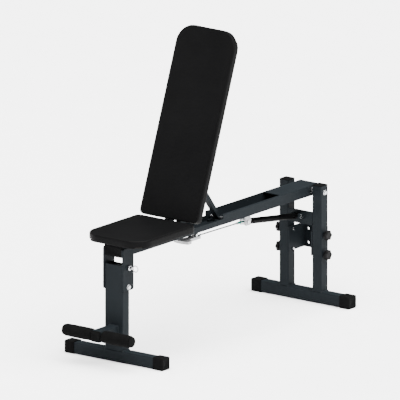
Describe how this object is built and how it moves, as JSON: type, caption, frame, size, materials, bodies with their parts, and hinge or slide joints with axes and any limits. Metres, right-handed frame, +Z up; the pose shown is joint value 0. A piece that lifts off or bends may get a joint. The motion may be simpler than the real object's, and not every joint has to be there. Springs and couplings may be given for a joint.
{
  "type": "adjustable weight bench",
  "caption": "Adjustable weight bench: padded seat, reclining padded back on a strut and notched rack, tube frame, foot hold with foam rollers and a gas spring.",
  "frame": {"origin": "middle of the bench's footprint, on the floor", "axes": "+Z up, +Y from the foot hold end to the rear stand, +X to the side of the lock pin's ring"},
  "size_m": [0.435, 1.27, 1.1],
  "materials": {
    "powder_coat": "satin dark blue-grey powder coat",
    "black_rubber": "matt black moulded rubber",
    "cable_jacket": "black jacket",
    "knob_plastic": "fine textured black",
    "vinyl": "black upholstery vinyl",
    "foam": "matt closed-cell foam",
    "plywood": "plain plywood",
    "zinc_steel": "bright zinc plate",
    "spring_black": "gloss black",
    "green_plastic": "blue-green"
  },
  "bodies": {
    "frame": {"front_crossbar": "powder_coat", "front_post": "powder_coat", "post_ear_left": "powder_coat", "post_ear_right": "powder_coat", "foot_arm": "powder_coat", "main_beam": "powder_coat", "strut_rack_left": "powder_coat", "strut_rack_right": "powder_coat", "seat_support_front": "powder_coat", "seat_support_rear": "powder_coat", "lever_bracket": "powder_coat", "front_crossbar_cap_left": "black_rubber", "front_crossbar_cap_right": "black_rubber", "foot_arm_cap": "black_rubber", "roller_disc_left": "black_rubber", "roller_disc_right": "black_rubber", "beam_front_cap": "black_rubber", "release_cable": "cable_jacket", "seat_cushion": "vinyl", "seat_board": "plywood", "spring_front_bracket": "zinc_steel", "ear_bolt": "zinc_steel", "foot_axle": "zinc_steel", "back_pivot_bolt": "zinc_steel", "spring_front_pin": "zinc_steel", "lever_pin": "zinc_steel", "cable_fitting": "green_plastic"},
    "rear_stand": {"rear_crossbar": "powder_coat", "rear_crossbar_cap_left": "black_rubber", "rear_crossbar_cap_right": "black_rubber", "rear_post_left": "powder_coat", "rear_post_right": "powder_coat", "post_cap_left": "black_rubber", "post_cap_right": "black_rubber", "beam_spacer_left": "zinc_steel", "beam_spacer_right": "zinc_steel", "beam_bolt": "zinc_steel", "spring_cross_plate": "powder_coat", "spring_rear_pin": "zinc_steel", "accessory_bracket": "powder_coat"},
    "backrest": {"back_rail_left": "powder_coat", "back_rail_right": "powder_coat", "back_plate_lower": "powder_coat", "back_plate_upper": "powder_coat", "back_cushion": "vinyl", "back_board": "plywood", "strut_pin": "zinc_steel"},
    "strut": {"back_strut": "powder_coat", "strut_foot_pin": "zinc_steel"},
    "spring_rod": {"spring_head": "zinc_steel", "spring_rod": "zinc_steel"},
    "spring_cylinder": {"spring_cylinder": "spring_black"},
    "roller_left": {"foam_roller_left": "foam"},
    "roller_right": {"foam_roller_right": "foam"},
    "lever": {"release_lever": "zinc_steel"},
    "lock_pin": {"lock_pin": "zinc_steel"},
    "knob_left_lower": {"clamp_knob_left_lower": "knob_plastic"},
    "knob_left_upper": {"clamp_knob_left_upper": "knob_plastic"},
    "knob_right_lower": {"clamp_knob_right_lower": "knob_plastic"},
    "knob_right_upper": {"clamp_knob_right_upper": "knob_plastic"}
  },
  "joints": [
    {"name": "backrest_recline", "type": "hinge", "parent": "frame", "child": "backrest", "pos_m": [0, -0.181, 0.402], "axis": [-1, 0, 0], "range_deg": [0, 70]},
    {"name": "strut_fold", "type": "hinge", "parent": "backrest", "child": "strut", "pos_m": [0, -0.0996, 0.62565], "axis": [1, 0, 0], "range_deg": [0, 122.36]},
    {"name": "stand_swing", "type": "hinge", "parent": "frame", "child": "rear_stand", "pos_m": [0, 0.564, 0.402], "axis": [1, 0, 0], "range_deg": [0, 20]},
    {"name": "spring_tilt", "type": "hinge", "parent": "frame", "child": "spring_rod", "pos_m": [0, 0.228, 0.352], "axis": [1, 0, 0], "range_deg": [-0.5, 0]},
    {"name": "spring_stroke", "type": "slide", "parent": "spring_rod", "child": "spring_cylinder", "axis": [0, 0.9903, -0.1391], "range_m": [0, 0.0348]},
    {"name": "foam_roller_left_spin", "type": "hinge", "parent": "frame", "child": "roller_left", "pos_m": [-0.085, -0.613, 0.113], "axis": [1, 0, 0], "continuous": true},
    {"name": "foam_roller_right_spin", "type": "hinge", "parent": "frame", "child": "roller_right", "pos_m": [0.085, -0.613, 0.113], "axis": [1, 0, 0], "continuous": true},
    {"name": "lever_squeeze", "type": "hinge", "parent": "frame", "child": "lever", "pos_m": [0, -0.074, 0.368], "axis": [-1, 0, 0], "range_deg": [0, 12], "stiffness_Nm_per_rad": 1, "springref_deg": -11.46},
    {"name": "lock_pin_pull", "type": "slide", "parent": "frame", "child": "lock_pin", "axis": [1, 0, 0], "range_m": [0, 0.11]},
    {"name": "knob_left_lower_turn", "type": "hinge", "parent": "rear_stand", "child": "knob_left_lower", "pos_m": [-0.093, 0.564, 0.177], "axis": [1, 0, 0], "continuous": true},
    {"name": "knob_left_upper_turn", "type": "hinge", "parent": "rear_stand", "child": "knob_left_upper", "pos_m": [-0.093, 0.564, 0.248], "axis": [1, 0, 0], "continuous": true},
    {"name": "knob_right_lower_turn", "type": "hinge", "parent": "rear_stand", "child": "knob_right_lower", "pos_m": [0.093, 0.564, 0.177], "axis": [1, 0, 0], "continuous": true},
    {"name": "knob_right_upper_turn", "type": "hinge", "parent": "rear_stand", "child": "knob_right_upper", "pos_m": [0.093, 0.564, 0.248], "axis": [1, 0, 0], "continuous": true}
  ],
  "couplings": [
    {"joint": "strut_fold", "follows": "backrest_recline", "ratio": 1.7478},
    {"joint": "spring_tilt", "follows": "stand_swing", "ratio": -0.02002},
    {"joint": "spring_stroke", "follows": "stand_swing", "m_per_rad": 0.09845}
  ]
}
